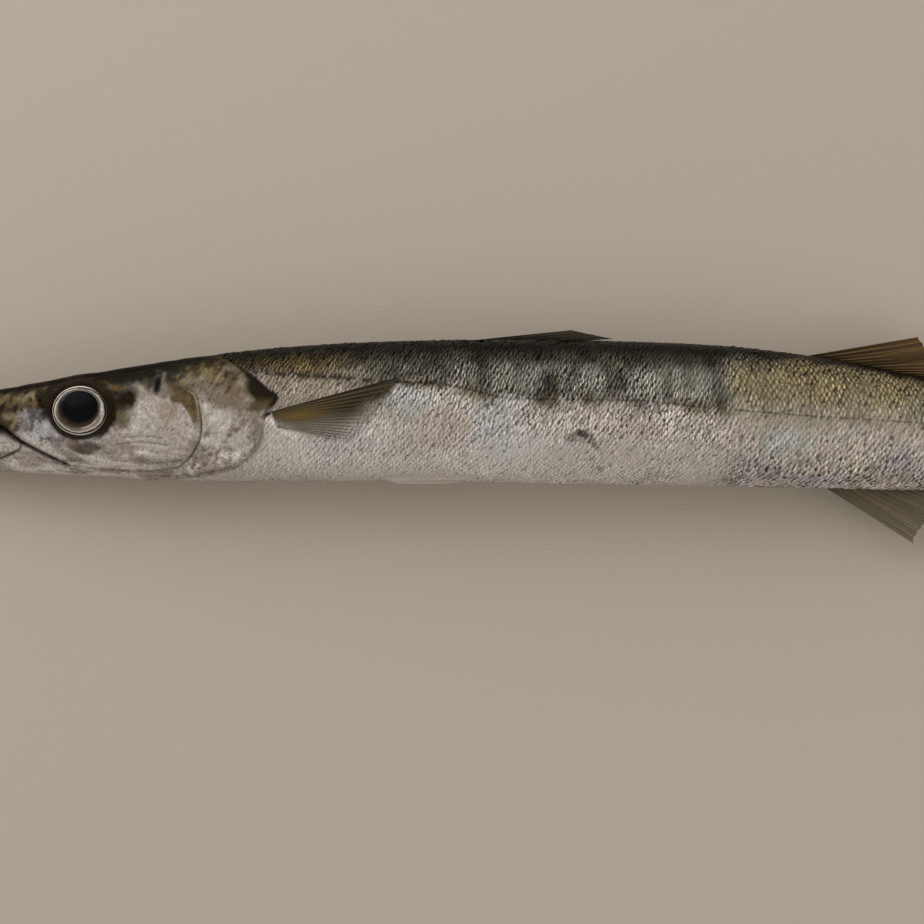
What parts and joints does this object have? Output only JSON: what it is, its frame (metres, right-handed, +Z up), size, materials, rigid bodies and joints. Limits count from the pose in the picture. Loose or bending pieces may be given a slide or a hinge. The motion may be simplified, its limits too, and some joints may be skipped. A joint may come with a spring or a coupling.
{
  "type": "barracuda",
  "caption": "Whole barracuda lying on its right flank: long round body, pointed head with the lower jaw leading, large eyes and folded fins.",
  "frame": {"origin": "on the floor, at the middle of the flat of the right flank that the fish lies on", "axes": "+X from the jaws to the tail fin, +Y from the belly to the back, +Z up through the left flank"},
  "size_m": [0.6566, 0.1117, 0.0499],
  "materials": {
    "head_skin": "wet, smooth and silvery",
    "scaled_skin": "wet silver scales, dark on the back",
    "fin": "thin wet membrane over rays",
    "iris": "clear wet gloss over pale silver",
    "pupil": "clear wet gloss over black"
  },
  "bodies": {
    "root": {"head": "head_skin", "lower_jaw": "head_skin", "gill_cover_left": "head_skin", "gill_cover_right": "head_skin", "body_front": "scaled_skin", "body_middle": "scaled_skin", "body_rear": "scaled_skin", "tail_stem": "scaled_skin", "eye_left": "iris", "eye_right": "iris", "pupil_left": "pupil", "pupil_right": "pupil", "pectoral_fin_left": "fin", "pectoral_fin_right": "fin", "pelvic_fin_left": "fin", "pelvic_fin_right": "fin", "dorsal_fin_first": "fin", "dorsal_fin_second": "fin", "anal_fin": "fin", "tail_fin_upper": "fin", "tail_fin_lower": "fin"}
  },
  "joints": []
}
